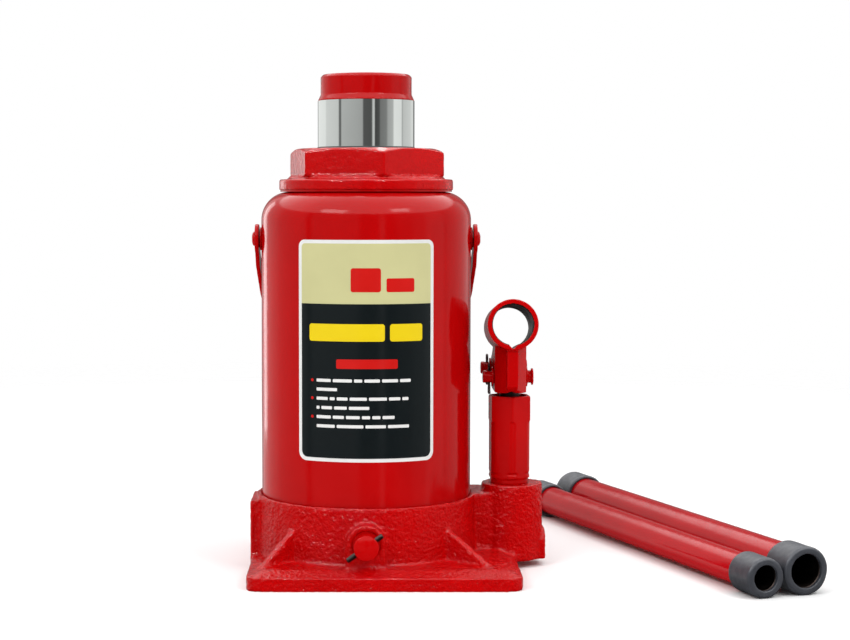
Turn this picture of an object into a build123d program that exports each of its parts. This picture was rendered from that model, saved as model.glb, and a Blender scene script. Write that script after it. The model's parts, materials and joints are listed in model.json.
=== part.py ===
"""Hydraulic bottle jack with a two-piece pump handle, modelled as separate pieces.

Millimetres, +Z up. The origin is the centre of the base sole on the ram axis. The release
valve faces -Y and the pump stands at +X. The ram is drawn a little way out of its cylinder and
the pump lever is at the bottom of its stroke. The two handle tubes lie on the ground.
"""
from build123d import *
import math
import os

# ---- driving dimensions -------------------------------------------------------------------
GAP = 0.05                     # radial clearance of a running fit
SEAT_GAP = 0.02                # clearance between still pieces that touch face to face

# heights of the main stack
SEAM_Z = 47.0                  # top of the cast cup
FLOOR_Z = 30.0                 # pressure face of the base inside the cylinder
TANK_STRAIGHT_Z = 222.0        # top of the tank's straight wall
NUT_Z = 241.2                  # underside of the top nut's flange
SADDLE_Z = 297.6               # underside of the saddle
SADDLE_TOP_Z = 314.2
RAM_OUT = 29.5                 # how far the ram is drawn out of its lowest position
FILLER_Z = 196.0               # oil filler at the back of the tank

# radii of the main stack
TANK_R = 67.0
TANK_WALL = 4.5
SHOULDER_R = 18.0
CYLINDER_R = 42.0
BORE_R = 34.0
RAM_R = 30.85
SADDLE_R = 29.0
FLANGE_R = 55.5
HEX_CORNER_R = 51.6
HEX_TURN = 12.5                # degrees from the front to a corner of the top nut

# base casting
PLATE_LEFT, PLATE_RIGHT = -72.6, 94.9
PLATE_FRONT, PLATE_BACK = -90.0, 85.0
PLATE_EDGE_Z, PLATE_CROWN_Z = 8.5, 11.5
CUP_FOOT_R, CUP_TOP_R = 71.4, 70.5
SUMP_R, SUMP_Z = 61.0, 34.0
SOCKET_BOSS_R = 47.0           # boss that the cylinder stands in
DRILL_R = 2.2                  # oil drillings of the pump
LUG_HALF = 3.2                 # half-width of the link's lug

# pump
PUMP_X = 92.2
PUMP_BOSS_X, PUMP_BOSS_R, PUMP_BOSS_Z = 93.9, 19.6, 53.0
PUMP_AF = 25.0
PUMP_HEAD_Z, PUMP_TOP_Z = 92.8, 109.5
PLUNGER_R = 6.5
SPIGOT_R = 10.0
PACKING_R = 10.2               # groove of the plunger seal
SUCTION_Z, DISCHARGE_Z = 15.0, 23.0
STRAINER_X = 54.0

# lever: socket pin, link top pin and link base pin, all parallel to X
PIN_Y, PIN_Z = 0.0, 121.4
PIN_R = 4.0
PIN_TAIL = 7.2                 # how far a pin stands out past what it holds
COTTER_IN = 4.2                # from the end of the tail to its cotter
LEVER = 22.0                   # from the plunger pin to the link's top pin
LEVER_TILT = 10.0              # degrees the top pin stands above the plunger pin
LINK_LENGTH = 58.0
LINK_SLACK = 0.5               # clearance of the open pivot at the link's top eye
TONGUE = 6.4                   # half-width of the pieces between the socket's ears
EAR_OUT, SHEET = 10.1, 3.2

SOCKET_TILT = 6.8              # degrees the socket's mouth points up
SOCKET_Y, SOCKET_Z = -30.0, 157.0
SOCKET_OUT_R, SOCKET_IN_R, SOCKET_LENGTH = 16.0, 12.75, 40.6

# release valve
VALVE_Z = 26.2
ARCH_R = 11.9                  # arched bosses of the release and overload valves
VALVE_FACE_Y = -78.4
VALVE_TIP_Y = -91.0
STEM_R, STEM_HEAD_R = 5.5, 7.6
STEM_DOME_R = 15.0
CROSS_PIN_R, CROSS_PIN_TURN = 1.65, 36.0

# carry handle
BAIL_Z = 210.0
BAIL_HANG = 41.2               # degrees from straight down, resting behind the tank
BAIL_REACH = 112.0
BAIL_X = 69.8
STRAP, STRAP_WIDTH, STRAP_EYE_R = 2.6, 14.0, 9.4
RIVET_R = 3.0

# two-piece handle lying on the ground
HANDLE_LENGTH = 325.0
HANDLE_TURN = 19.0             # degrees between the tubes and the Y axis
HANDLE_NEAR = (262.0, -100.0)  # near end of the large tube, in plan
LARGE_R, SMALL_R = 12.5, 10.0
HANDLE_WALL = 2.2
CAP_WALL, CAP_LENGTH = 2.2, 24.0

TOP_PIN_Y = PIN_Y + LEVER * math.cos(math.radians(LEVER_TILT))
TOP_PIN_Z = PIN_Z + LEVER * math.sin(math.radians(LEVER_TILT))
BASE_PIN_Z = TOP_PIN_Z - LINK_LENGTH


# ---- helpers ------------------------------------------------------------------------------
def save(shape, node):
    """Write one node."""
    export_step(shape, f"parts/{node}.step")


def turned(*profile):
    """Solid of revolution about Z from (radius, height) points."""
    return revolve(make_face(Plane.XZ * Polyline(*profile, close=True)), Axis.Z)


def ring(inner, outer, low, high):
    """Plain ring about Z."""
    return turned((inner, low), (outer, low), (outer, high), (inner, high))


def rod(radius, low, high):
    """Round bar about Z."""
    return Pos(0, 0, low) * extrude(Circle(radius), high - low)


def along_x(shape, x=0.0, y=0.0, z=0.0):
    """Turn a shape made about Z so that its axis lies along +X, then place it."""
    return Pos(x, y, z) * Rot(0, 90, 0) * shape


def along_y(shape, x=0.0, y=0.0, z=0.0):
    """Turn a shape made about Z so that its axis lies along -Y, then place it."""
    return Pos(x, y, z) * Rot(90, 0, 0) * shape


def hexagon(corner_radius, turn, low, high):
    """Hexagonal prism about Z with a corner at the given angle from -Y towards +X."""
    return Pos(0, 0, low) * extrude(Rot(0, 0, turn - 90) * RegularPolygon(corner_radius, 6), high - low)


def coil(radius, wire, low, high, turns):
    """Compression spring about Z with its ends at the given heights."""
    path = Helix(pitch=(high - low) / turns, height=high - low, radius=radius)
    section = Plane(origin=path @ 0, z_dir=path % 0) * Circle(wire)
    return Pos(0, 0, low) * sweep(section, path=path, is_frenet=True)


def mirrored_x(shape):
    """The shape and its mirror image in the YZ plane, as separate solids."""
    return Compound([shape, mirror(shape, Plane.YZ)])


# ---- base casting -------------------------------------------------------------------------
def gusset(start, end, low, high, thickness=5.0):
    """Triangular rib standing on the plate from the cup's wall at start down to end, in plan."""
    run = math.dist(start, end)
    heading = ((end[0] - start[0]) / run, (end[1] - start[1]) / run, 0)
    plane = Plane(origin=(start[0], start[1], 0), x_dir=heading, z_dir=(heading[1], -heading[0], 0))
    side = make_face(plane * Polyline((-8, low), (-8, high), (0, high), (run, low + 4), (run, low), close=True))
    return extrude(side, thickness / 2, both=True)


def base_casting():
    plate_size = (PLATE_RIGHT - PLATE_LEFT, PLATE_BACK - PLATE_FRONT)
    plate_place = Pos((PLATE_RIGHT + PLATE_LEFT) / 2, (PLATE_BACK + PLATE_FRONT) / 2, 0)
    plate = plate_place * extrude(RectangleRounded(*plate_size, 9), PLATE_EDGE_Z)
    crown = plate_place * Pos(0, 0, PLATE_EDGE_Z) * extrude(
        RectangleRounded(plate_size[0] - 4, plate_size[1] - 4, 8), PLATE_CROWN_Z - PLATE_EDGE_Z, taper=70)
    cup = turned((0, 0), (CUP_FOOT_R, 0), (CUP_TOP_R, SEAM_Z), (0, SEAM_Z))
    body = plate + crown + cup

    # pump boss, its neck to the cup, the side boss of the suction drilling and the left pad
    neck_y = (-14.0, 28.0)
    body += Pos(76, sum(neck_y) / 2, 0) * extrude(Rectangle(36, neck_y[1] - neck_y[0]), SEAM_Z + 0.4)
    body += Pos(PUMP_BOSS_X, 0.8, 4.5) * extrude(Circle(PUMP_BOSS_R + 0.6), PUMP_BOSS_Z - 4.5, taper=0.8)
    body += along_x(rod(9.6, 0, 25), 90.2, 0, 14.1)
    body += Pos(102.7, 0, 9.3) * Box(25, 19.2, 9.6)
    body += Pos(-66, 0, 22) * Box(15.6, 40, 44)

    # arched bosses of the release valve in front and the overload valve behind
    for face, back in ((VALVE_FACE_Y, -60.0), (VALVE_FACE_Y * -1, 60.0)):
        depth = abs(face - back)
        middle = (face + back) / 2
        body += along_y(rod(ARCH_R, -depth / 2, depth / 2), 0, middle, VALVE_Z)
        body += Pos(0, middle, VALVE_Z / 2 + 2) * Box(2 * ARCH_R, depth, VALVE_Z - 4)

    # gussets, two in front and two behind
    for start, end in (((-46, -54), (-66, -72)), ((51, -49), (78, -72)),
                       ((-46, 54), (-66, 70)), ((51, 49), (78, 70))):
        body += gusset(start, end, 6.0, 31.0)

    # lug that holds the link's base pin behind the pump
    body += Pos(PUMP_X, TOP_PIN_Y, 48) * Box(2 * LUG_HALF, 15, 36.4)
    body += along_x(rod(7.5, -LUG_HALF, LUG_HALF), PUMP_X, TOP_PIN_Y, BASE_PIN_Z)

    # tank seat, sump and the threaded socket of the cylinder
    body -= rod(TANK_R + 0.15, SEAM_Z - 7, 80)
    body -= rod(SUMP_R, SUMP_Z, 80)
    body += rod(SOCKET_BOSS_R, SUMP_Z - 1, SEAM_Z - 2)
    body -= rod(CYLINDER_R + SEAT_GAP, FLOOR_Z, 80)

    # pump cylinder seat, chamber and suction valve bore
    body -= Pos(PUMP_X, 0, 0) * rod(SPIGOT_R + SEAT_GAP, FLOOR_Z, 80)
    body -= Pos(PUMP_X, 0, 0) * rod(6.0, 19.5, FLOOR_Z + 1)
    body -= Pos(PUMP_X, 0, 0) * rod(DRILL_R, SUCTION_Z, 20)

    # suction drilling from the sump, closed by the side plug, and the discharge drilling
    body -= along_x(rod(DRILL_R, 0, 62), STRAINER_X, 0, SUCTION_Z)
    body -= Pos(STRAINER_X, 0, 0) * rod(DRILL_R, SUCTION_Z, SUMP_Z + 1)
    body -= along_x(rod(4.0 + SEAT_GAP, 0, 12), 104.5, 0, SUCTION_Z)
    body -= along_x(rod(DRILL_R, 0, 66), 24, 0, DISCHARGE_Z)
    body -= along_x(rod(3.8, 0, 17), 62, 0, DISCHARGE_Z)
    body -= Pos(24, 0, 0) * rod(DRILL_R, DISCHARGE_Z, FLOOR_Z + 1)

    # release valve bore from the front and overload valve bore from the back
    body -= along_y(rod(STEM_R + GAP, 0, 40), 0, -50, VALVE_Z)
    body -= along_y(rod(8.4, 0, 10), 0, -76, VALVE_Z)
    body -= along_y(rod(3.2, 0, 6), 0, -44.3, VALVE_Z)
    body -= along_y(rod(2.0, 0, 30), 0, -22, VALVE_Z)
    body -= Pos(0, -23, 0) * rod(2.0, VALVE_Z, FLOOR_Z + 1)
    body -= along_y(rod(6.0 + SEAT_GAP, -30, 0), 0, 50, VALVE_Z)
    body -= along_y(rod(1.6, -30, 0), 0, 22, VALVE_Z)
    body -= Pos(0, 23, 0) * rod(1.6, VALVE_Z, FLOOR_Z + 1)

    # link pin hole
    body -= along_x(rod(PIN_R + SEAT_GAP, -12, 12), PUMP_X, TOP_PIN_Y, BASE_PIN_Z)
    return body


# ---- tank, cylinder and top nut -----------------------------------------------------------
def tank_tube():
    """Drawn casing with a rounded shoulder and a round mouth under the top nut."""
    low, arc_r = SEAM_Z - 6, TANK_R - SHOULDER_R
    top = TANK_STRAIGHT_Z + SHOULDER_R
    mouth = 48.4
    outer = Line((TANK_R, low), (TANK_R, TANK_STRAIGHT_Z))
    outer_arc = CenterArc((arc_r, TANK_STRAIGHT_Z), SHOULDER_R, 0, 90)
    lip = Polyline((arc_r, top), (mouth, top), (mouth, top - TANK_WALL), (arc_r, top - TANK_WALL))
    inner_arc = CenterArc((arc_r, TANK_STRAIGHT_Z), SHOULDER_R - TANK_WALL, 0, 90)
    inner = Polyline((TANK_R - TANK_WALL, TANK_STRAIGHT_Z), (TANK_R - TANK_WALL, low), (TANK_R, low))
    section = make_face(Plane.XZ * (outer + outer_arc + lip + inner_arc + inner))
    tube = revolve(section, Axis.Z)
    return tube - along_y(rod(6.0, -80, 0), 0, 0, FILLER_Z)


def top_nut():
    """Flanged hexagon nut that guides the ram and clamps the tank."""
    low, web, top = 226.0, 241.0, 267.2
    rim, foot = NUT_Z + 6.6, NUT_Z + 8.4       # top of the flange's rim and foot of the hexagon
    skirt_r, running_r = 48.0, RAM_R + GAP
    body = ring(CYLINDER_R + SEAT_GAP, skirt_r, low, web + 1)
    body += turned((running_r, web), (skirt_r, web), (skirt_r, NUT_Z), (FLANGE_R, NUT_Z), (FLANGE_R, rim - 0.8),
                   (FLANGE_R - 0.8, rim), (50.5, rim), (48.5, foot), (running_r, foot))
    head = hexagon(HEX_CORNER_R, HEX_TURN, foot - 1, top)
    outside_r = HEX_CORNER_R + 1
    bevel = turned((0, foot - 1), (47.5, foot - 1), (outside_r, foot + 1.6), (outside_r, top - 3.2), (44.0, top),
                   (0, top))
    body += head & bevel
    body -= rod(running_r, 200, 300)
    body -= rod(34.0, top - 6, 300)
    body -= ring(10, 33.0, 249, 257)
    return body


def label():
    """Thin printed panel wrapped on the front of the tank."""
    half_width = TANK_R * math.sin(math.radians(38))
    low, high = 75.1, 210.7
    sheet = Plane.XZ * Pos(0, (low + high) / 2) * RectangleRounded(2 * half_width, high - low, 4.0)
    return extrude(sheet, 80) & ring(TANK_R + SEAT_GAP, TANK_R + 0.3, low - 1, high + 1)


def stack_pieces():
    """Still pieces on the ram axis."""
    save(tank_tube(), "tank_tube")
    save(ring(TANK_R - TANK_WALL, TANK_R, SEAM_Z - 7, SEAM_Z - 6 - SEAT_GAP), "tank_base_gasket")
    save(ring(49.0, 54.8, TANK_STRAIGHT_Z + SHOULDER_R, NUT_Z - SEAT_GAP), "tank_top_gasket")
    save(ring(BORE_R, CYLINDER_R, FLOOR_Z + 1 + SEAT_GAP, 241.0 - SEAT_GAP), "inner_cylinder")
    save(ring(BORE_R + 0.5, CYLINDER_R - 0.5, FLOOR_Z, FLOOR_Z + 1), "cylinder_gasket")
    save(top_nut(), "top_nut")
    save(ring(RAM_R + GAP, 33.0 - SEAT_GAP, 249.1, 256.9), "ram_guide_ring")
    save(turned((RAM_R + GAP, 261.3), (33.9, 261.3), (33.9, 266.0), (32.4, 266.0), (RAM_R + GAP, 268.4)),
         "ram_wiper")
    save(label(), "label")
    filler_rim = along_y(turned((0, -9), (5.9, -9), (5.9, -2.2), (6.9, -2.2), (8.6, -1.4), (8.6, 0), (7.4, 1.6),
                                (0, 2.2)), 0, TANK_R + 2.6, FILLER_Z)
    save(mirror(filler_rim, Plane.XZ.offset(-(TANK_R + 2.6))), "filler_plug")


# ---- ram ----------------------------------------------------------------------------------
def ram_pieces():
    """Ram, its piston and seals, and the saddle, at the drawn height."""
    foot = FLOOR_Z + 0.5 + RAM_OUT
    head = foot + 30.0
    neck_r, stem_r = 24.0, 12.0
    rod_body = turned((0, foot), (neck_r, foot), (neck_r, head), (RAM_R, head), (RAM_R, SADDLE_Z), (0, SADDLE_Z))
    rod_body -= rod(stem_r + SEAT_GAP, SADDLE_Z - 16, SADDLE_Z + 1)
    save(rod_body, "ram_rod")

    piston = ring(neck_r + SEAT_GAP, BORE_R - GAP, foot, head - SEAT_GAP)
    piston -= ring(28.0, BORE_R + 1, foot + 4, foot + 14)
    piston -= ring(31.0, BORE_R + 1, foot + 19, foot + 26)
    save(piston, "piston")
    lip_r = BORE_R - 0.03
    save(turned((28.0, foot + 4), (29.5, foot + 4), (30.6, foot + 8.0), (32.0, foot + 4), (lip_r, foot + 4),
                (lip_r, foot + 11.8), (28.0, foot + 11.8)), "piston_seal")
    save(ring(28.0, BORE_R - 0.03, foot + 12, foot + 13.9), "piston_backup_ring")
    save(ring(31.0, BORE_R - 0.03, foot + 19.1, foot + 25.9), "piston_wear_ring")

    flare, edge = 3.8, 1.6
    saddle = turned((0, SADDLE_Z + SEAT_GAP), (RAM_R, SADDLE_Z + SEAT_GAP), (SADDLE_R, SADDLE_Z + flare),
                    (SADDLE_R, SADDLE_TOP_Z - edge), (SADDLE_R - edge, SADDLE_TOP_Z), (0, SADDLE_TOP_Z))
    saddle += rod(stem_r, SADDLE_Z - 15.5, SADDLE_Z + 2)
    for pitch_r in (8.0, 14.5, 21.0):
        saddle -= turned((pitch_r - 1, SADDLE_TOP_Z + 0.1), (pitch_r + 1, SADDLE_TOP_Z + 0.1),
                         (pitch_r, SADDLE_TOP_Z - 1))
    save(saddle, "saddle")


# ---- release valve ------------------------------------------------------------------------
def release_valve_pieces():
    """Turning stem with its cross pin, seal, collar and ball, on an axis along Y."""
    z = VALVE_Z
    tip = -VALVE_TIP_Y
    dome_edge = rod(STEM_HEAD_R + 1, tip - 4, tip + 1) - Pos(0, 0, tip - STEM_DOME_R) * Sphere(STEM_DOME_R)
    profile = turned((0, 49.8), (2.4, 49.8), (4.6, 53), (STEM_R, 53.6), (STEM_R, 78.9), (STEM_HEAD_R, 78.9),
                     (STEM_HEAD_R, tip), (0, tip))
    stem = along_y(profile - dome_edge, 0, 0, z)
    stem -= along_y(ring(4.2, 5.6, 66, 68.6), 0, 0, z)
    pin_y = -84.8
    pin_place = Pos(0, pin_y, z) * Rot(0, -CROSS_PIN_TURN, 0) * Rot(0, 90, 0)
    stem -= pin_place * rod(CROSS_PIN_R, -12, 12)
    save(stem, "release_valve_stem")
    left, right, pin_r = -14.2, 12.2, CROSS_PIN_R - SEAT_GAP
    save(pin_place * turned((0, left), (1.2, left), (pin_r, left + 0.5), (pin_r, right - 0.5), (1.2, right),
                            (0, right)), "release_cross_pin")
    save(along_y(Pos(0, 0, 67.3) * Torus(4.2 + 0.62, 0.6), 0, 0, z), "release_valve_oring")
    save(along_y(ring(STEM_R + GAP, 8.3, 76.1, 78.5), 0, 0, z), "release_valve_collar")
    save(Pos(0, -46.6, z) * Sphere(3.0), "release_ball")


# ---- pump ---------------------------------------------------------------------------------
def pump_cylinder():
    """Hexagon bar with its corners turned down below the head, screwed into the base."""
    corner_r = PUMP_AF / math.sqrt(3)
    bar = hexagon(corner_r, 5.0, PUMP_BOSS_Z, PUMP_TOP_Z)
    head_r, body_r, foot_r, groove_r = 14.35, 13.4, 12.2, 12.7
    turned_part = turned((0, PUMP_BOSS_Z), (foot_r, PUMP_BOSS_Z), (foot_r, 56.2), (body_r, 56.8), (body_r, 58.6),
                         (groove_r, 59.0), (groove_r, 60.0), (body_r, 60.5), (body_r, PUMP_HEAD_Z),
                         (head_r, PUMP_HEAD_Z + 0.8), (head_r, PUMP_TOP_Z - 1), (body_r, PUMP_TOP_Z),
                         (0, PUMP_TOP_Z))
    body = (bar & turned_part) + rod(SPIGOT_R, FLOOR_Z + 1.2, PUMP_BOSS_Z + 1)
    body -= rod(PLUNGER_R + GAP, 20, 200)
    body -= rod(10.8, PUMP_TOP_Z - 7, 200)
    body -= ring(6, PACKING_R, 92, 97)
    return Pos(PUMP_X, 0, 0) * body


def pump_pieces():
    """Pump cylinder, plunger and valves."""
    on_pump = Pos(PUMP_X, 0, 0)
    save(pump_cylinder(), "pump_cylinder")
    save(on_pump * ring(6.5, SPIGOT_R - 0.2, FLOOR_Z + 0.1, FLOOR_Z + 1.1), "pump_washer")
    save(on_pump * ring(PLUNGER_R + GAP, PACKING_R - SEAT_GAP, 92.1, 96.9), "plunger_seal")

    plunger = rod(PLUNGER_R, FLOOR_Z + 3.4, 112.0) + Pos(0, 0, PIN_Z - 4.7) * Box(2 * TONGUE, 14, 9.4)
    plunger += along_x(rod(7.0, -TONGUE, TONGUE), 0, PIN_Y, PIN_Z)
    plunger &= turned((0, 30), (PLUNGER_R, 30), (PLUNGER_R, 112), (9.4, 113.4), (9.4, 140), (0, 140))
    plunger -= along_x(rod(PIN_R + GAP, -12, 12), 0, PIN_Y, PIN_Z)
    save(on_pump * plunger, "pump_plunger")

    save(on_pump * Pos(0, 0, 23.4) * Sphere(3.6), "suction_ball")
    save(on_pump * Pos(-18.5, 0, DISCHARGE_Z) * Sphere(3.4), "discharge_ball")
    save(along_x(coil(2.9, 0.4, 62.5, 69.6, 4), 0, 0, DISCHARGE_Z), "discharge_spring")
    plug = rod(4.0, 0, 8) - hexagon(2.3, 0, 5, 9)
    save(along_x(plug, 105.0, 0, SUCTION_Z), "suction_plug")
    save(Pos(STRAINER_X, 0, 0) * (ring(1.6, 4.5, SUMP_Z, SUMP_Z + 1.2) + ring(3.4, 4.5, SUMP_Z, SUMP_Z + 6)
                          + rod(4.5, SUMP_Z + 5, SUMP_Z + 6)), "suction_strainer")

    z = VALVE_Z
    screw = rod(6.0, 0, 11) - hexagon(3.4, 0, 6, 12)
    save(Pos(0, 66.6, z) * Rot(-90, 0, 0) * screw, "overload_screw")
    save(Pos(0, 0, z) * Rot(-90, 0, 0) * coil(4.0, 0.7, 55.8, 65.6, 5), "overload_spring")
    save(Pos(0, 52.0, z) * Sphere(2.0) + Pos(0, 0, z) * Rot(-90, 0, 0) * rod(4.6, 53.0, 55.0), "overload_ball")


# ---- lever --------------------------------------------------------------------------------
def handle_socket():
    """Stamped sheet wrapped round into a tube, closed below and opened again into two ears."""
    low, high = 112.0, 150.0
    inner = EAR_OUT - SHEET
    nose = 3.6
    plan = Polyline((-nose, SOCKET_Y), (nose, SOCKET_Y), (nose, -20.0), (EAR_OUT, -9.0), (EAR_OUT, 40),
                    (inner, 40), (inner, -8.1), (0.0, -17.4), (-inner, -8.1), (-inner, 40), (-EAR_OUT, 40),
                    (-EAR_OUT, -9.0), (-nose, -20.0), close=True)
    channel = Pos(0, 0, low) * extrude(make_face(plan), high - low)
    side = Polyline((SOCKET_Y + 0.4, low + 5.4), (-14, low), (TOP_PIN_Y - 3, low), (TOP_PIN_Y, TOP_PIN_Z - 8.6),
                    (TOP_PIN_Y + 8.6, TOP_PIN_Z), (TOP_PIN_Y, TOP_PIN_Z + 8.6), (10.2, 140.5), (10.2, high),
                    (SOCKET_Y + 0.4, high), close=True)
    outline = extrude(make_face(Plane.YZ * side), 20, both=True)
    outline += along_x(rod(8.6, -20, 20), 0, TOP_PIN_Y, TOP_PIN_Z)
    channel &= outline

    place = Pos(0, SOCKET_Y, SOCKET_Z) * Rot(90 - SOCKET_TILT, 0, 0)
    channel -= place * rod(SOCKET_OUT_R - 0.6, -60, 20)
    under = Pos(0, 0, low) * extrude(Rectangle(40, 120), high - low)
    channel &= under
    body = channel + place * ring(SOCKET_IN_R, SOCKET_OUT_R, -SOCKET_LENGTH, 0)
    seam = 3.9                 # side of the square groove left where the sheet meets under the tube
    body -= place * Pos(0, -SOCKET_IN_R, 0) * Rot(0, 0, 45) * Pos(0, 0, -60) * extrude(Rectangle(seam, seam), 80)
    body -= along_x(rod(PIN_R + SEAT_GAP, -20, 20), 0, PIN_Y, PIN_Z)
    body -= along_x(rod(PIN_R + SEAT_GAP, -20, 20), 0, TOP_PIN_Y, TOP_PIN_Z)
    return Pos(PUMP_X, 0, 0) * body


def link():
    """Forged link: a full-width top eye with slack and a fork at its foot."""
    top_y = TOP_PIN_Y + 0.37
    top_z = TOP_PIN_Z - 0.09
    body = along_x(rod(7.6, -TONGUE, TONGUE), 0, top_y, top_z)
    body += along_x(rod(7.0, -TONGUE, TONGUE), 0, TOP_PIN_Y, BASE_PIN_Z)
    body += Pos(0, TOP_PIN_Y, (top_z + BASE_PIN_Z) / 2) * Box(2 * TONGUE, 10.5, LINK_LENGTH)
    body -= Pos(0, TOP_PIN_Y, BASE_PIN_Z) * Box(2 * 3.5, 20, 24)
    body -= along_x(rod(3.5, -3.5, 3.5), 0, TOP_PIN_Y, BASE_PIN_Z + 12)
    body -= along_x(rod(PIN_R + LINK_SLACK, -12, 12), 0, top_y, top_z)
    body -= along_x(rod(PIN_R + GAP, -12, 12), 0, TOP_PIN_Y, BASE_PIN_Z)
    return Pos(PUMP_X, 0, 0) * body


def clevis_pin(grip, tail):
    """Headed pin along X: the head lies beyond +grip, and the tail has a cross hole."""
    head, head_r = 1.2, 5.35
    pin = turned((0, -tail), (PIN_R - 0.6, -tail), (PIN_R, -tail + 0.6), (PIN_R, grip), (head_r, grip),
                 (head_r, grip + head), (0, grip + head))
    return along_x(pin - along_x(rod(1.7, -9, 9), 0, 0, COTTER_IN - tail))


def cotter(length, x):
    """Split pin standing along Z with its eye on top and its legs spread below."""
    wire, leg, eye_r = 0.8, 0.84, 1.7
    top = PIN_R + 0.7
    bend_z = -PIN_R - 0.8
    shape = Pos(0, 0, top + eye_r + 0.2) * Rot(0, 90, 0) * Torus(eye_r, wire)
    for side in (-1, 1):
        knee = Vector(0, side * leg, bend_z)
        spread = Vector(0, side * 3.4, top - length) - knee
        shape += Pos(0, side * leg, 0) * rod(wire, bend_z, top + 0.5)
        shape += extrude(Plane(origin=knee, z_dir=spread) * Circle(wire), spread.length)
        shape += Pos(knee) * Sphere(wire + 0.02)
    return Pos(x, 0, 0) * shape


def lever_pieces():
    """Socket, link and their pins. The link's base pin points the other way."""
    save(handle_socket(), "handle_socket")
    save(link(), "pump_link")
    places = (("plunger_pin", PIN_Y, PIN_Z, EAR_OUT, 0), ("link_top_pin", TOP_PIN_Y, TOP_PIN_Z, EAR_OUT, 0),
              ("link_base_pin", TOP_PIN_Y, BASE_PIN_Z, TONGUE, 180))
    for name, y, z, half, turn in places:
        place = Pos(PUMP_X, y, z) * Rot(0, 0, turn)
        reach = 3.8 if name == "plunger_pin" else 1.5
        tail = half + PIN_TAIL
        save(place * clevis_pin(half + reach, tail), name)
        washer = along_x(ring(PIN_R + SEAT_GAP, 6.4, half + 0.1, half + 1.2))
        far_washer = along_x(ring(PIN_R + SEAT_GAP, 6.4, -half - 1.5, -half - 0.4))
        save(place * Compound([washer, far_washer]), f"{name}_washers")
        save(place * cotter(15.5, COTTER_IN - tail), f"{name}_cotter")


# ---- carry handle -------------------------------------------------------------------------
def carry_handle():
    """Flat strap bent into a bail, drawn at rest behind the tank."""
    tilt = math.radians(BAIL_HANG)
    plane = Plane(origin=(0, 0, BAIL_Z), x_dir=(1, 0, 0), z_dir=(0, math.cos(tilt), math.sin(tilt)))
    half = [(BAIL_X, 0), (BAIL_X, 18), (67.6, 48), (55, 82), (40, BAIL_REACH)]
    corners = half + [(-x, v) for x, v in reversed(half)]
    bends = [0, 25, 60, 60, 20]
    path = FilletPolyline(*corners, radius=bends[1:] + bends[:0:-1])
    strap = extrude(trace(path, STRAP), STRAP_WIDTH / 2, both=True)
    bail = plane * strap
    for side in (-1, 1):
        bail += along_x(rod(STRAP_EYE_R, -STRAP / 2, STRAP / 2), side * BAIL_X, 0, BAIL_Z)
        bail -= along_x(rod(RIVET_R + GAP, -5, 5), side * BAIL_X, 0, BAIL_Z)
    return bail


def carry_handle_pieces():
    """Bail, the pads welded to the tank, spacers and rivets."""
    save(carry_handle(), "carry_handle")
    outside = BAIL_X + STRAP / 2
    pad_face = 67.9
    pad = along_x(rod(7.4, 60, pad_face), 0, 0, BAIL_Z) - rod(TANK_R + SEAT_GAP, 190, 230)
    pad -= along_x(rod(RIVET_R + SEAT_GAP, 60, 75), 0, 0, BAIL_Z)
    save(mirrored_x(pad), "carry_handle_pads")
    spacer = along_x(ring(RIVET_R + SEAT_GAP, 5.6, pad_face + 0.05, pad_face + 0.55), 0, 0, BAIL_Z)
    save(mirrored_x(spacer), "carry_handle_spacers")
    rivet = turned((0, TANK_R + 0.3), (RIVET_R, TANK_R + 0.3), (RIVET_R, outside + 0.3), (4.8, outside + 0.3),
                   (4.2, outside + 1.3), (2.4, outside + 2.0), (0, outside + 2.1))
    save(mirrored_x(along_x(rivet, 0, 0, BAIL_Z)), "carry_handle_rivets")


# ---- two-piece handle ---------------------------------------------------------------------
def handle_tube_pieces(name, radius, near):
    """One tube with its two sleeve caps, lying on the ground from the near point backwards."""
    cap_r = radius + CAP_WALL
    place = Pos(near[0], near[1], cap_r) * Rot(0, 0, HANDLE_TURN) * Rot(-90, 0, 0)
    tube = ring(radius - HANDLE_WALL, radius, 3.0, HANDLE_LENGTH - 3.0)
    save(place * tube, f"{name}_tube")
    lip = radius - HANDLE_WALL
    cap = turned((lip, 0), (cap_r - 1.2, 0), (cap_r, 1.2), (cap_r, CAP_LENGTH - 0.8), (cap_r - 0.8, CAP_LENGTH),
                 (radius + SEAT_GAP, CAP_LENGTH), (radius + SEAT_GAP, 3.0 - SEAT_GAP), (lip, 3.0 - SEAT_GAP))
    save(place * cap, f"{name}_near_cap")
    save(place * Pos(0, 0, HANDLE_LENGTH) * Rot(180, 0, 0) * cap, f"{name}_far_cap")


def handle_pieces():
    """The large tube and, beside it, the small one."""
    spacing = LARGE_R + SMALL_R + 2 * CAP_WALL + 0.6
    turn = math.radians(HANDLE_TURN)
    beside = (HANDLE_NEAR[0] - spacing * math.cos(turn), HANDLE_NEAR[1] - spacing * math.sin(turn))
    handle_tube_pieces("large_handle", LARGE_R, HANDLE_NEAR)
    handle_tube_pieces("small_handle", SMALL_R, beside)


os.makedirs("parts", exist_ok=True)
save(base_casting(), "base_casting")
stack_pieces()
ram_pieces()
release_valve_pieces()
pump_pieces()
lever_pieces()
carry_handle_pieces()
handle_pieces()
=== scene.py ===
"""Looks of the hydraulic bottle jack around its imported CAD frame. Metres, in the CAD's own frame."""
import json
import math

import bmesh
import bpy
import numpy as np
from mathutils import Matrix, Vector, noise


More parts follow.
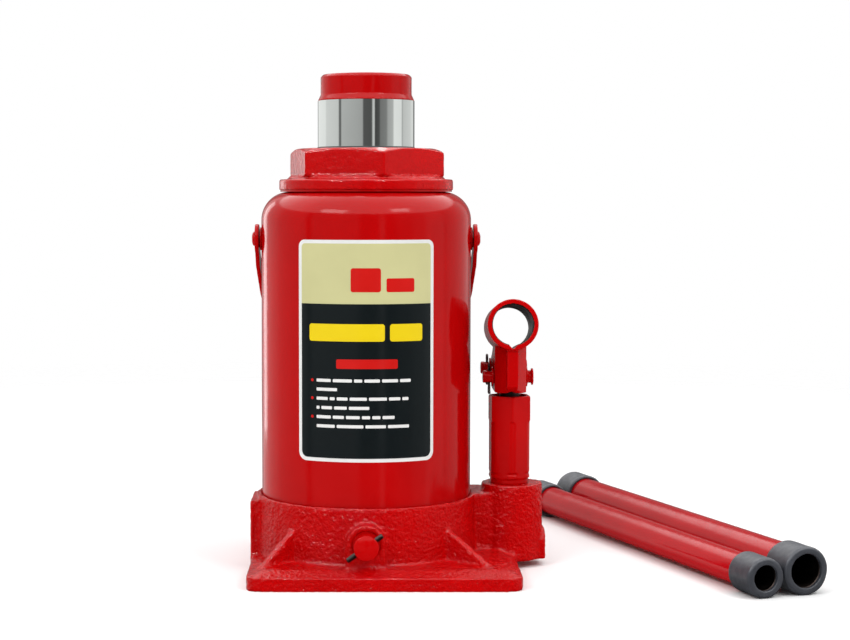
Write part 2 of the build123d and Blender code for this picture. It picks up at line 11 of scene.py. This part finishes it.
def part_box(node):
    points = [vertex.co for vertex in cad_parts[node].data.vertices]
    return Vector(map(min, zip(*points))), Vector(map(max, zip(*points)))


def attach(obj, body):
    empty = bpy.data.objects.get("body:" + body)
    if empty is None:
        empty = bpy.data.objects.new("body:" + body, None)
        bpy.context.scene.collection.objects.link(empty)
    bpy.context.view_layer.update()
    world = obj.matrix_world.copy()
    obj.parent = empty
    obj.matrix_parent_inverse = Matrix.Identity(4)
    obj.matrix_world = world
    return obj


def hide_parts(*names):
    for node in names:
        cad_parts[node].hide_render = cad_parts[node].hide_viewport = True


MM = 0.001

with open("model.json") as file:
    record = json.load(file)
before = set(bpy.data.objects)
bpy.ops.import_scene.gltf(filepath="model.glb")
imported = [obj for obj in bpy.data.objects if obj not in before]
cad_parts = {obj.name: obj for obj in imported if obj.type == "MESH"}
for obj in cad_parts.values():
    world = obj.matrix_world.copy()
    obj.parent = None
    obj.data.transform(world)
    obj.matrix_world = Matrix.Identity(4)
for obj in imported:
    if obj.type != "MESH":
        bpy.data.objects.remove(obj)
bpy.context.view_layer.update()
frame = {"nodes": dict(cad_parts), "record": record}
scene = bpy.context.scene


# ---- camera, light and floor --------------------------------------------------------------
def camera():
    """Long lens in front of the jack, a little above it and tilted slightly down."""
    distance, height, pitch = 1.205, 0.2366, 3.74
    lens, sensor, shift = 79.62, 36.0, 0.0692
    data = bpy.data.cameras.new("camera")
    data.lens = lens
    data.sensor_width = sensor
    data.shift_x = shift
    data.clip_start, data.clip_end = 0.05, 50
    view = bpy.data.objects.new("camera", data)
    view.location = (0, -distance, height)
    view.rotation_euler = (math.radians(90 - pitch), 0, 0)
    scene.collection.objects.link(view)
    scene.camera = view


def soft_box(name, place, target, size, power, mirrored=False):
    """Rectangular area light aimed at a point; only a mirrored one shows in reflections."""
    data = bpy.data.lights.new(name, "AREA")
    data.shape = "RECTANGLE"
    data.size, data.size_y = size
    data.energy = power
    light = bpy.data.objects.new(name, data)
    light.visible_glossy = mirrored
    light.location = place
    light.rotation_euler = (Vector(target) - Vector(place)).to_track_quat("-Z", "Y").to_euler()
    scene.collection.objects.link(light)
    return light


def mirror_lamp(name, place, target, size, power, pieces):
    """Area light that shows only as a reflection, and only in the pieces given."""
    lamp = soft_box(name, place, target, size, power, mirrored=True)
    lamp.visible_diffuse = False
    lamp.visible_camera = False
    shown_in = bpy.data.collections.new(name)
    for piece in pieces:
        shown_in.objects.link(piece)
    lamp.light_linking.receiver_collection = shown_in


GLINT_PLACES = ((-1.0, -1.1, 0.8), (0.5, -1.4, 1.1), (-0.2, -0.6, 1.7))
GLINT_TARGET = (0, 0, 0.08)
GLINT_SIZE, GLINT_POWER = 0.13, 18


def glints(pieces):
    """Small bright lamps that each lump of a rough casting catches a spark of."""
    for index, place in enumerate(GLINT_PLACES):
        mirror_lamp(f"glint_{index}", place, GLINT_TARGET, (GLINT_SIZE, GLINT_SIZE), GLINT_POWER, pieces)


# brightness of the room by direction in degrees from behind the camera, positive to the right
ROOM = ((-180, 0.20), (-164, 0.24), (-158, 0.92), (-114, 0.88), (-109, 0.72), (-70, 0.66), (-66, 0.12),
        (-63, 0.14), (-60, 0.50), (-9, 0.40), (-6, 0.10), (13, 0.09), (16, 0.62), (19, 0.66), (21, 0.06),
        (31, 0.09), (34, 0.20), (49, 0.24), (53, 0.42), (66, 0.50), (70, 0.88), (92, 0.84), (96, 0.40),
        (99, 0.62), (130, 0.70), (147, 0.85), (153, 0.24), (180, 0.20))
CEILING, CEILING_SHINE = 0.95, 3.0     # brightness overhead as light and as a reflection
CEILING_RISE = (0.44, 0.50)            # upward part of a direction where the ceiling begins and is full
GROUND_SHINE = 0.12                    # brightness of a reflection that looks down, against the bands
GROUND_SINK = (-0.40, -0.10)           # upward part of a direction where the ground is full and ends


def room():
    """World of soft vertical bands round the horizon under a bright ceiling, plain white to the camera.

    Reflections also see a brighter ceiling and a dim ground.
    """
    world = bpy.data.worlds.new("room")
    world.use_nodes = True
    scene.world = world
    nodes, links = world.node_tree.nodes, world.node_tree.links
    background = nodes["Background"]
    coords = nodes.new("ShaderNodeTexCoord")
    split = nodes.new("ShaderNodeSeparateXYZ")
    links.new(coords.outputs["Generated"], split.inputs[0])
    behind = nodes.new("ShaderNodeMath")
    behind.operation = "MULTIPLY"
    behind.inputs[1].default_value = -1
    links.new(split.outputs["Y"], behind.inputs[0])
    turn = nodes.new("ShaderNodeMath")
    turn.operation = "ARCTAN2"
    links.new(split.outputs["X"], turn.inputs[0])
    links.new(behind.outputs[0], turn.inputs[1])
    place = nodes.new("ShaderNodeMapRange")
    place.inputs["From Min"].default_value = -math.pi
    place.inputs["From Max"].default_value = math.pi
    links.new(turn.outputs[0], place.inputs["Value"])
    bands = nodes.new("ShaderNodeValToRGB")
    ramp = bands.color_ramp
    while len(ramp.elements) > 1:
        ramp.elements.remove(ramp.elements[-1])
    for index, (angle, level) in enumerate(ROOM):
        spot = (angle + 180) / 360
        element = ramp.elements[0] if index == 0 else ramp.elements.new(spot)
        element.position = spot
        element.color = (level, level * 1.005, level * 0.995, 1)
    links.new(place.outputs["Result"], bands.inputs["Fac"])
    rise = nodes.new("ShaderNodeMapRange")
    rise.interpolation_type = "SMOOTHSTEP"
    rise.inputs["From Min"].default_value, rise.inputs["From Max"].default_value = CEILING_RISE
    links.new(split.outputs["Z"], rise.inputs["Value"])
    blend = nodes.new("ShaderNodeMix")
    blend.data_type = "RGBA"
    sight = nodes.new("ShaderNodeLightPath")
    ceiling = nodes.new("ShaderNodeMix")
    ceiling.data_type = "RGBA"
    ceiling.inputs["A"].default_value = (CEILING, CEILING, CEILING, 1)
    ceiling.inputs["B"].default_value = (CEILING_SHINE, CEILING_SHINE, CEILING_SHINE, 1)
    links.new(sight.outputs["Is Glossy Ray"], ceiling.inputs["Factor"])
    links.new(ceiling.outputs["Result"], blend.inputs["B"])
    links.new(rise.outputs["Result"], blend.inputs["Factor"])
    links.new(bands.outputs["Color"], blend.inputs["A"])
    plain = nodes.new("ShaderNodeMix")
    plain.data_type = "RGBA"
    plain.inputs["B"].default_value = (1, 1, 1, 1)
    links.new(sight.outputs["Is Camera Ray"], plain.inputs["Factor"])
    links.new(blend.outputs["Result"], plain.inputs["A"])
    links.new(plain.outputs["Result"], background.inputs["Color"])
    sink = nodes.new("ShaderNodeMapRange")
    sink.interpolation_type = "SMOOTHSTEP"
    sink.inputs["From Min"].default_value, sink.inputs["From Max"].default_value = GROUND_SINK
    sink.inputs["To Min"].default_value = GROUND_SHINE
    links.new(split.outputs["Z"], sink.inputs["Value"])
    ground = nodes.new("ShaderNodeMix")
    ground.inputs["A"].default_value = 1.0
    links.new(sight.outputs["Is Glossy Ray"], ground.inputs["Factor"])
    links.new(sink.outputs["Result"], ground.inputs["B"])
    links.new(ground.outputs["Result"], background.inputs["Strength"])


FLOOR_CLEAR, FLOOR_END = 0.5, 1.5     # the floor fades into the white room between these radii


def floor():
    """Plain pale disc under the object that fades out towards its rim."""
    material, tree, shader = new_material("floor")
    shader.inputs["Roughness"].default_value = 0.9
    shader.inputs["Specular IOR Level"].default_value = 0.0
    tint(tree, shader, (0.95, 0.95, 0.95), 0.008, 6)
    nodes, links = tree.nodes, tree.links
    reach = nodes.new("ShaderNodeVectorMath")
    reach.operation = "LENGTH"
    links.new(object_coords(tree), reach.inputs[0])
    fade = remap(tree, reach.outputs["Value"], 0, 1, FLOOR_CLEAR, FLOOR_END)
    output = nodes["Material Output"]
    clear = nodes.new("ShaderNodeBsdfTransparent")
    mixed = nodes.new("ShaderNodeMixShader")
    links.new(fade, mixed.inputs["Fac"])
    links.new(shader.outputs["BSDF"], mixed.inputs[1])
    links.new(clear.outputs["BSDF"], mixed.inputs[2])
    links.new(mixed.outputs["Shader"], output.inputs["Surface"])
    bm = bmesh.new()
    bmesh.ops.create_circle(bm, cap_ends=True, segments=96, radius=FLOOR_END)
    mesh = bpy.data.meshes.new("floor")
    bm.to_mesh(mesh)
    bm.free()
    ground = bpy.data.objects.new("floor", mesh)
    ground.data.materials.append(material)
    ground.visible_glossy = False
    scene.collection.objects.link(ground)


# ---- materials ----------------------------------------------------------------------------
def new_material(name):
    """Material with its node tree and shader."""
    material = bpy.data.materials.new(name)
    material.use_nodes = True
    tree = material.node_tree
    return material, tree, tree.nodes["Principled BSDF"]


def object_coords(tree):
    """The piece's own coordinates in metres."""
    return tree.nodes.new("ShaderNodeTexCoord").outputs["Object"]


def noise_level(tree, scale, detail=3.0, rough=0.5, stretch=(1, 1, 1)):
    """Noise in the piece's own coordinates; scale is in features per metre."""
    texture = tree.nodes.new("ShaderNodeTexNoise")
    texture.inputs["Scale"].default_value = scale
    texture.inputs["Detail"].default_value = detail
    texture.inputs["Roughness"].default_value = rough
    mapping = tree.nodes.new("ShaderNodeMapping")
    mapping.inputs["Scale"].default_value = stretch
    tree.links.new(object_coords(tree), mapping.inputs["Vector"])
    tree.links.new(mapping.outputs["Vector"], texture.inputs["Vector"])
    return texture.outputs["Fac"]


def remap(tree, value, low, high, from_low=0.3, from_high=0.7):
    """Spread a noise level over a range."""
    node = tree.nodes.new("ShaderNodeMapRange")
    node.inputs["From Min"].default_value = from_low
    node.inputs["From Max"].default_value = from_high
    node.inputs["To Min"].default_value = low
    node.inputs["To Max"].default_value = high
    tree.links.new(value, node.inputs["Value"])
    return node.outputs["Result"]


def tint(tree, shader, colour, spread, scale):
    """Base colour that drifts a little lighter and darker."""
    blend = tree.nodes.new("ShaderNodeMix")
    blend.data_type = "RGBA"
    blend.inputs["A"].default_value = (*(c * (1 - spread) for c in colour), 1)
    blend.inputs["B"].default_value = (*(min(1, c * (1 + spread)) for c in colour), 1)
    tree.links.new(remap(tree, noise_level(tree, scale), 0, 1), blend.inputs["Factor"])
    tree.links.new(blend.outputs["Result"], shader.inputs["Base Color"])


def bumps(tree, shader, layers):
    """Chain of bump maps from (level, depth in metres) pairs."""
    last = None
    for level, depth in layers:
        bump = tree.nodes.new("ShaderNodeBump")
        bump.inputs["Strength"].default_value = 1
        bump.inputs["Distance"].default_value = depth
        tree.links.new(level, bump.inputs["Height"])
        if last:
            tree.links.new(last.outputs["Normal"], bump.inputs["Normal"])
        last = bump
    tree.links.new(last.outputs["Normal"], shader.inputs["Normal"])


RED = (0.435, 0.0011, 0.0016)


def enamel(name, colour=RED, gloss=0.10, grain=0.00002, pits=0.0, shine=0.15):
    """Gloss enamel; grain is the depth of its orange peel and pits that of rough casting under it."""
    material, tree, shader = new_material(name)
    tint(tree, shader, colour, 0.07, 22)
    tree.links.new(remap(tree, noise_level(tree, 90), gloss - 0.03, gloss + 0.06), shader.inputs["Roughness"])
    shader.inputs["Specular IOR Level"].default_value = shine
    layers = [(noise_level(tree, 700, 2), grain), (noise_level(tree, 45, 2), grain * 7)]
    if pits:
        layers += [(noise_level(tree, 530, 2), pits), (noise_level(tree, 1300, 2), pits * 0.08)]
    bumps(tree, shader, layers)
    return material


def metal(name, colour, rough, spread=0.08, lines=0.0, grain=0.00001):
    """Bare or plated metal, with turned lines round Z when asked."""
    material, tree, shader = new_material(name)
    tint(tree, shader, colour, spread, 60)
    shader.inputs["Metallic"].default_value = 1.0
    tree.links.new(remap(tree, noise_level(tree, 130), rough * 0.7, rough * 1.4), shader.inputs["Roughness"])
    layers = [(noise_level(tree, 500, 3), grain)]
    if lines:
        layers.append((noise_level(tree, 4000, 2, 0.6, (0.02, 0.02, 1)), lines))
        layers.append((noise_level(tree, 900, 3, 0.6, (1, 1, 0.02)), lines * 1.5))
    bumps(tree, shader, layers)
    return material


def rubber(name, colour, rough=0.55, depth=0.00006):
    """Moulded rubber with a fine grain."""
    material, tree, shader = new_material(name)
    tint(tree, shader, colour, 0.18, 120)
    sheen = remap(tree, noise_level(tree, 300), rough - 0.08, rough + 0.08)
    tree.links.new(sheen, shader.inputs["Roughness"])
    bumps(tree, shader, [(noise_level(tree, 1500, 3), depth), (noise_level(tree, 160, 2), depth * 2)])
    return material


def print_ink(name, colour):
    """Printed vinyl with a clear gloss film."""
    material, tree, shader = new_material(name)
    tint(tree, shader, colour, 0.04, 35)
    tree.links.new(remap(tree, noise_level(tree, 70), 0.13, 0.20), shader.inputs["Roughness"])
    shader.inputs["Specular IOR Level"].default_value = 0.18
    bumps(tree, shader, [(noise_level(tree, 40, 2), 0.00006), (noise_level(tree, 900, 2), 0.000008)])
    return material


body_paint = enamel("body_paint", gloss=0.09)
cast_paint = enamel("cast_paint", (0.44, 0.0008, 0.0012), gloss=0.07, grain=0.00001, pits=0.0009)
nut_paint = enamel("nut_paint", (0.45, 0.001, 0.0015), gloss=0.11, grain=0.00003, pits=0.00025)
pump_paint = enamel("pump_paint", (0.47, 0.001, 0.0015), gloss=0.12, grain=0.00003, pits=0.00006,
                    shine=0.09)
handle_paint = enamel("handle_paint", (0.46, 0.004, 0.008), gloss=0.13)
chrome = metal("chrome", (0.79, 0.82, 0.80), 0.04, 0.02, lines=0.000002, grain=0.000003)
steel = metal("machined_steel", (0.50, 0.50, 0.51), 0.26, lines=0.00001)
dark_steel = metal("dark_steel", (0.055, 0.042, 0.040), 0.42, 0.4, grain=0.00005)
# Near-black bare metal for the bores: the near-black is painted shade inside the socket ring and the handle
# tubes.
bore_steel_and_painted_shade = metal("bore_steel_and_painted_shade", (0.045, 0.034, 0.030), 0.45, 0.5, grain=0.00006)
bronze = metal("bearing_bronze", (0.52, 0.33, 0.13), 0.3)
cap_rubber = rubber("cap_rubber", (0.036, 0.039, 0.048), 0.42)
seal_rubber = rubber("seal_rubber", (0.015, 0.015, 0.017), 0.6)
ink_white = print_ink("ink_white", (0.74, 0.74, 0.73))
ink_cream = print_ink("ink_cream", (0.56, 0.54, 0.275))
ink_black = print_ink("ink_black", (0.006, 0.009, 0.010))
ink_red = print_ink("ink_red", (0.56, 0.010, 0.008))
ink_yellow = print_ink("ink_yellow", (0.78, 0.58, 0.010))

SLOT_MATERIAL = {"cast_paint": cast_paint, "body_paint": body_paint, "pump_paint": pump_paint,
                 "handle_paint": handle_paint, "cap_rubber": cap_rubber, "seal_rubber": seal_rubber,
                 "chrome": chrome, "machined_steel": steel, "dark_steel": dark_steel,
                 "bearing_bronze": bronze, "label_print": ink_cream}


def dress_cad():
    """Give every CAD node the procedural material of its slot."""
    for part in frame["record"]["subparts"]:
        mesh = frame["nodes"][part["node"]].data
        mesh.materials.clear()
        mesh.materials.append(SLOT_MATERIAL[part["material_slot"]])


# ---- mesh tools ---------------------------------------------------------------------------
def place_piece(mesh, name, node, material):
    """Object for a mesh that stands for a CAD node and moves with it."""
    piece = bpy.data.objects.new(name, mesh)
    mesh.materials.clear()
    mesh.materials.append(material)
    scene.collection.objects.link(piece)
    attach(piece, body_name(node))
    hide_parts(node)
    return piece


def body_name(node):
    """Body that a CAD node moves with."""
    bodies = frame["record"]["behaviour"]["bodies"]
    return next(body for body, nodes in bodies.items() if node in nodes)


def applied(mesh, settings):
    """Mesh after modifiers given as (type, {setting: value}) pairs."""
    holder = bpy.data.objects.new("holder", mesh)
    scene.collection.objects.link(holder)
    for kind, values in settings:
        modifier = holder.modifiers.new(kind.lower(), kind)
        for key, value in values.items():
            setattr(modifier, key, value)
    graph = bpy.context.evaluated_depsgraph_get()
    result = bpy.data.meshes.new_from_object(holder.evaluated_get(graph))
    bpy.data.objects.remove(holder)
    bpy.data.meshes.remove(mesh)
    return result


def welded_copy(node):
    """The CAD node's mesh as a welded copy."""
    bm = bmesh.new()
    bm.from_mesh(frame["nodes"][node].data)
    bmesh.ops.remove_doubles(bm, verts=bm.verts, dist=1e-6)
    mesh = bpy.data.meshes.new(node)
    bm.to_mesh(mesh)
    bm.free()
    return mesh


def read_points(mesh):
    """Vertex places and normals as arrays of rows."""
    count = len(mesh.vertices)
    places = np.empty(count * 3)
    normals = np.empty(count * 3)
    mesh.vertices.foreach_get("co", places)
    mesh.vertex_normals.foreach_get("vector", normals)
    return places.reshape(-1, 3), normals.reshape(-1, 3)


def set_points(mesh, node, places):
    """Move the vertices, held inside the box of the CAD node."""
    low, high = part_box(node)
    np.clip(places, np.array(low), np.array(high), out=places)
    mesh.vertices.foreach_set("co", places.ravel())
    mesh.update()


def softened(node, voxel, rounds, lumps=()):
    """Welded copy of a CAD node with its edges rounded, and lumps of (size, height) pressed out of it."""
    mesh = applied(welded_copy(node), [
        ("REMESH", {"mode": "VOXEL", "voxel_size": voxel, "use_smooth_shade": True}),
        ("SMOOTH", {"factor": 0.5, "iterations": rounds})])
    places, normals = read_points(mesh)
    for index, place in enumerate(places):
        spot = Vector(place)
        push = sum(height * noise.noise(spot / size) for size, height in lumps)
        places[index] += normals[index] * push
    set_points(mesh, node, places)
    mesh.polygons.foreach_set("use_smooth", [True] * len(mesh.polygons))
    return mesh


def crisp(mesh, angle=35):
    """Smooth shading that breaks at edges sharper than the angle."""
    bm = bmesh.new()
    bm.from_mesh(mesh)
    limit = math.radians(angle)
    for face in bm.faces:
        face.smooth = True
    for edge in bm.edges:
        edge.smooth = len(edge.link_faces) == 2 and edge.calc_face_angle() < limit
    bm.to_mesh(mesh)
    bm.free()
    return mesh


def lathe(name, profile, segments=192, wobble=0.0):
    """Closed mesh turned about Z from (radius, height) points, with an optional slow wobble of the radius."""
    wave_rise, wave_scale = 12, 1.7
    bm = bmesh.new()
    columns = []
    for step in range(segments):
        turn = 2 * math.pi * step / segments
        column = []
        for radius, height in profile:
            place = Vector((math.cos(turn), math.sin(turn), height * wave_rise))
            reach = radius + wobble * noise.noise(place * wave_scale) if radius > 0 else 0
            column.append(bm.verts.new((reach * math.cos(turn), reach * math.sin(turn), height)))
        columns.append(column)
    count = len(profile)
    for step in range(segments):
        here, there = columns[step], columns[(step + 1) % segments]
        for row in range(count):
            below = (row + 1) % count
            bm.faces.new((here[row], there[row], there[below], here[below]))
    bmesh.ops.remove_doubles(bm, verts=bm.verts, dist=1e-7)
    bmesh.ops.recalc_face_normals(bm, faces=bm.faces)
    mesh = bpy.data.meshes.new(name)
    bm.to_mesh(mesh)
    bm.free()
    return mesh


def arc_points(centre, radius, start, end, steps):
    """Points on an arc, angles in degrees."""
    angles = (math.radians(start + (end - start) * step / steps) for step in range(steps + 1))
    return [(centre[0] + radius * math.cos(a), centre[1] + radius * math.sin(a)) for a in angles]


# ---- pieces -------------------------------------------------------------------------------
def softened_piece(node, name, material, voxel=0.4, rounds=3, lumps=()):
    """Replace a CAD node with a copy whose edges are rounded; voxel in mm, lumps as (size, height) in mm."""
    mesh = softened(node, voxel * MM, rounds, [(size * MM, height * MM) for size, height in lumps])
    return place_piece(mesh, name, node, material)


def mount(name):
    """Place of a mount in metres, its direction, and its sizes in mm."""
    row = next(m for m in frame["record"]["mounts"] if m["name"] == name)
    return Vector(row["pos_m"]), Vector(row["axis"]).normalized(), row["dims"]


def second_material(mesh, material, inside):
    """Give the faces whose centre passes the test another material."""
    mesh.materials.append(material)
    for polygon in mesh.polygons:
        polygon.material_index = 1 if inside(polygon.center) else 0


def distance_from_line(place, start, axis):
    """Distance of a place from the line through start along a unit axis."""
    offset = place - start
    return (offset - axis * offset.dot(axis)).length


def base_piece():
    """Sand casting: rounded edges and a grain of small lumps under the paint."""
    lumps = ((11, 0.22), (4, 0.22), (2.1, 0.34))
    return softened_piece("base_casting", "base_cast", cast_paint, 1.0, 4, lumps)


def tank_piece():
    """Tank with fine facets, a rounded shoulder and a very slight wave in its wall."""
    low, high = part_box("tank_tube")
    radius = high.x
    wall = 4.5 * MM
    shoulder = 18 * MM
    centre = (radius - shoulder, high.z - shoulder)
    rows = 40
    outer = [(radius, low.z + (centre[1] - low.z) * row / rows) for row in range(rows)]
    outer += arc_points(centre, shoulder, 0, 90, 20)
    mouth = 48.4 * MM
    inner = [(mouth, high.z), (mouth, high.z - wall)] + arc_points(centre, shoulder - wall, 90, 0, 10)
    inner.append((radius - wall, low.z))
    mesh = crisp(lathe("tank", outer + inner, 288, 0.05 * MM))
    return place_piece(mesh, "tank", "tank_tube", body_paint)


def nut_piece():
    """Top nut with a crust of pooled paint where the hexagon meets its flange."""
    hexagon_height, least_radius = 17.6 * MM, 42 * MM
    reach, lump_size, depth_mm = 1.7 * MM, 1.3 * MM, 0.9
    noise_lift = 0.25
    mesh = softened("top_nut", 0.6 * MM, 3, ((4 * MM, 0.12 * MM),))
    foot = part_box("top_nut")[1].z - hexagon_height
    places, normals = read_points(mesh)
    for index, place in enumerate(places):
        away = abs(place[2] - foot) / reach
        if away < 1 and math.hypot(place[0], place[1]) > least_radius:
            crust = noise.noise(Vector(place) / lump_size) + noise_lift
            places[index] += normals[index] * max(0, crust) * (1 - away) * depth_mm * MM
    set_points(mesh, "top_nut", places)
    return place_piece(mesh, "nut", "top_nut", nut_paint)


def socket_piece():
    """Socket with paint outside and bare metal in its bore, coloured near black as painted shade."""
    piece = softened_piece("handle_socket", "socket_stamping", pump_paint, 0.45, 3, ((3, 0.05),))
    start, axis, dims = mount("handle_socket")
    reach = (dims["r_mm"] + 0.5) * MM
    # the bore's faces take the near-black metal, painted shade inside the ring
    second_material(piece.data, bore_steel_and_painted_shade, lambda place: distance_from_line(place, start, axis) < reach)


def handle_piece(handle):
    """Painted tube whose bore is near-black metal, painted shade inside the tube, and its two moulded
    sleeves.

    The mount lies a little way inside the near end, and the tube stops short of both sleeves' ends.
    """
    start, axis, dims = mount(f"{handle}_bore")
    low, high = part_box(f"{handle}_tube")
    radius = (high.z - low.z) / 2
    wall, edge, inset = 2.2 * MM, 0.4 * MM, 3 * MM
    length, mount_depth = dims["length_mm"] * MM, 20 * MM
    top, foot = mount_depth - inset, mount_depth - length + inset
    rows = 24
    profile = [(radius, foot + edge + (top - foot - 2 * edge) * row / rows) for row in range(rows + 1)]
    profile += [(radius - edge, top), (radius - wall + edge, top), (radius - wall, top - edge)]
    profile += [(radius - wall, foot + edge), (radius - wall + edge, foot), (radius - edge, foot)]
    mesh = crisp(lathe(f"{handle}_pipe", profile, 128, 0.03 * MM))
    mesh.transform(Matrix.Translation(start) @ axis.to_track_quat("Z", "X").to_matrix().to_4x4())
    place_piece(mesh, f"{handle}_pipe", f"{handle}_tube", handle_paint)
    bore = radius - wall / 2
    # faces inside the tube take the near-black metal, painted shade in the bore
    second_material(mesh, bore_steel_and_painted_shade, lambda place: distance_from_line(place, start, axis) < bore)
    for end in ("near_cap", "far_cap"):
        cap = f"{handle}_{end}"
        softened_piece(cap, f"{cap}_sleeve", cap_rubber, 0.55, 4, ((7, 0.16), (3, 0.05)))


def small_pieces():
    """Painted and bare fittings with rounded edges."""
    softened_piece("saddle", "saddle_cap", body_paint, 0.5, 3, ((5, 0.05),))
    softened_piece("pump_cylinder", "pump_bar", pump_paint, 0.4, 3, ((6, 0.04),))
    softened_piece("pump_link", "link_forging", pump_paint, 0.45, 4, ((3, 0.10),))
    softened_piece("carry_handle", "bail_strap", pump_paint, 0.5, 3, ((8, 0.08),))
    softened_piece("carry_handle_pads", "bail_pads", body_paint, 0.3, 4, ((2, 0.08),))
    softened_piece("carry_handle_rivets", "bail_rivets", pump_paint, 0.25, 4, ((2, 0.08),))
    softened_piece("release_valve_stem", "valve_stem", pump_paint, 0.3, 4, ((3, 0.10),))
    softened_piece("release_cross_pin", "valve_cross_pin", dark_steel, 0.2, 3, ((1, 0.08),))
    for pin in ("plunger_pin", "link_top_pin", "link_base_pin"):
        softened_piece(pin, f"{pin}_rod", pump_paint, 0.25, 4, ((1.6, 0.10),))
        softened_piece(f"{pin}_washers", f"{pin}_rings", pump_paint, 0.2, 3, ((1.5, 0.06),))
        softened_piece(f"{pin}_cotter", f"{pin}_split", dark_steel, 0.2, 3, ((1, 0.08),))


def wrapped_panel(bm, left, right, low, high, inner, outer, corner_top=0.0, corner_foot=0.0):
    """Add a thin closed panel bent round Z at the front; left and right are arc lengths."""
    widest, corner_steps = 1.5 * MM, 6
    stations = {left, right}
    count = max(2, math.ceil((right - left) / widest))
    stations.update(left + (right - left) * step / count for step in range(count + 1))
    for corner in (corner_top, corner_foot):
        for step in range(corner_steps + 1 if corner else 0):
            inset = corner * (1 - math.cos(math.pi / 2 * step / corner_steps))
            stations.update((left + inset, right - inset))
    columns = []
    for along in sorted(stations):
        edge = min(along - left, right - along)
        cuts = [corner - math.sqrt(max(0, corner ** 2 - (corner - edge) ** 2)) if edge < corner else 0.0
                for corner in (corner_top, corner_foot)]
        turn = along / outer
        column = [bm.verts.new((radius * math.sin(turn), -radius * math.cos(turn), height))
                  for radius, height in ((outer, low + cuts[1]), (outer, high - cuts[0]),
                                         (inner, high - cuts[0]), (inner, low + cuts[1]))]
        columns.append(column)
    for here, there in zip(columns, columns[1:]):
        for corner in range(4):
            after = (corner + 1) % 4
            bm.faces.new((here[corner], there[corner], there[after], here[after]))
    bm.faces.new(columns[0])
    bm.faces.new(reversed(columns[-1]))


def label_layer(name, material, level, panels):
    """One printed colour of the label: panels are (left, right, low, high, corner top, corner foot) in mm."""
    bm = bmesh.new()
    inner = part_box("tank_tube")[1].x + 0.03 * MM
    outer = inner + level * MM
    for left, right, low, high, top, foot in panels:
        wrapped_panel(bm, left * MM, right * MM, low * MM, high * MM, inner, outer, top * MM, foot * MM)
    bmesh.ops.recalc_face_normals(bm, faces=bm.faces)
    mesh = bpy.data.meshes.new(name)
    bm.to_mesh(mesh)
    bm.free()
    return place_piece(crisp(mesh), name, "label", material)


def greeked(row, height, start, widths, gap=1.3):
    """Panels that stand for a line of words, each a plain bar."""
    panels = []
    for width in widths:
        panels.append((start, start + width, row - height / 2, row + height / 2, 0.5, 0.5))
        start += width + gap
    return panels


def label_pieces():
    """Label with a white edge, a cream head, a black field and plain bars where words would be."""
    low, high = (corner.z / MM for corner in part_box("label"))
    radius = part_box("tank_tube")[1].x
    half = radius * math.asin(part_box("label")[1].x / radius) / MM
    border, field_share = 2.2, 0.713
    split = low + field_share * (high - low)
    side = half - border
    label_layer("label_edge", ink_white, 0.10, [(-half, half, low, high, 4.2, 5.5)])
    label_layer("label_head", ink_cream, 0.16, [(-side, side, split, high - border, 2.4, 0)])
    label_layer("label_field", ink_black, 0.16, [(-side, side, low + border, split - 0.01, 0, 4.0)])

    rating = [(-9.5, 9.0, 179.0, 193.6, 1.5, 1.5), (12.4, 30.4, 179.0, 187.4, 1.2, 1.2)]
    heading = [(-18.5, 19.5, 132.3, 138.1, 1.0, 1.0)]
    bullets = [(-35.4, -33.6, row - 0.9, row + 0.9, 0.85, 0.85) for row in (125.0, 114.0, 102.6)]
    label_layer("label_red", ink_red, 0.22, rating + heading + bullets)
    label_layer("label_title", ink_yellow, 0.22, [(-36.4, 11.4, 149.0, 159.6, 1.6, 1.6),
                                                  (14.6, 36.0, 149.0, 159.6, 1.6, 1.6)])

    lines = ((125.0, (9.5, 12.0, 5.0, 9.5, 10.0, 7.0)), (119.5, (13.5,)),
             (113.9, (7.5, 3.2, 6.8, 10.5, 11.0, 7.2, 4.0)), (108.3, (2.0, 7.0, 8.0, 12.5)),
             (102.6, (9.5, 7.0, 8.5, 5.0, 5.0, 7.5)), (97.0, (12.0, 16.5, 12.5, 13.5)))
    words = [panel for row, widths in lines for panel in greeked(row, 1.9, -31.5, widths)]
    label_layer("label_words", ink_white, 0.22, words)


# ---- the scene ----------------------------------------------------------------------------
camera()
soft_box("key", (-0.6, -1.7, 1.3), (0, 0, 0.15), (0.8, 1.0), 2.4)
soft_box("fill", (1.2, -1.3, 0.8), (0.05, 0, 0.12), (0.35, 1.2), 3)
soft_box("top", (0, 0.1, 1.9), (0, 0, 0), (1.6, 1.6), 8)
soft_box("window", (-0.9, -1.1, 1.25), (0, 0, 0.2), (0.8, 0.36), 8, mirrored=True)
soft_box("lamp", (0.85, -0.9, 1.25), (0, 0, 0.2), (0.5, 0.3), 4.4, mirrored=True)
room()
floor()
dress_cad()
casting = base_piece()
tank = tank_piece()
label_pieces()
nut = nut_piece()
socket_piece()
small_pieces()
glints((casting, nut))
mirror_lamp("rim", (-0.85, 1.15, 0.35), (0, 0, 0.2), (0.3, 0.9), 2, (tank, nut))
handle_piece("large_handle")
handle_piece("small_handle")

scene.view_settings.view_transform = "Standard"
scene.view_settings.look = "None"
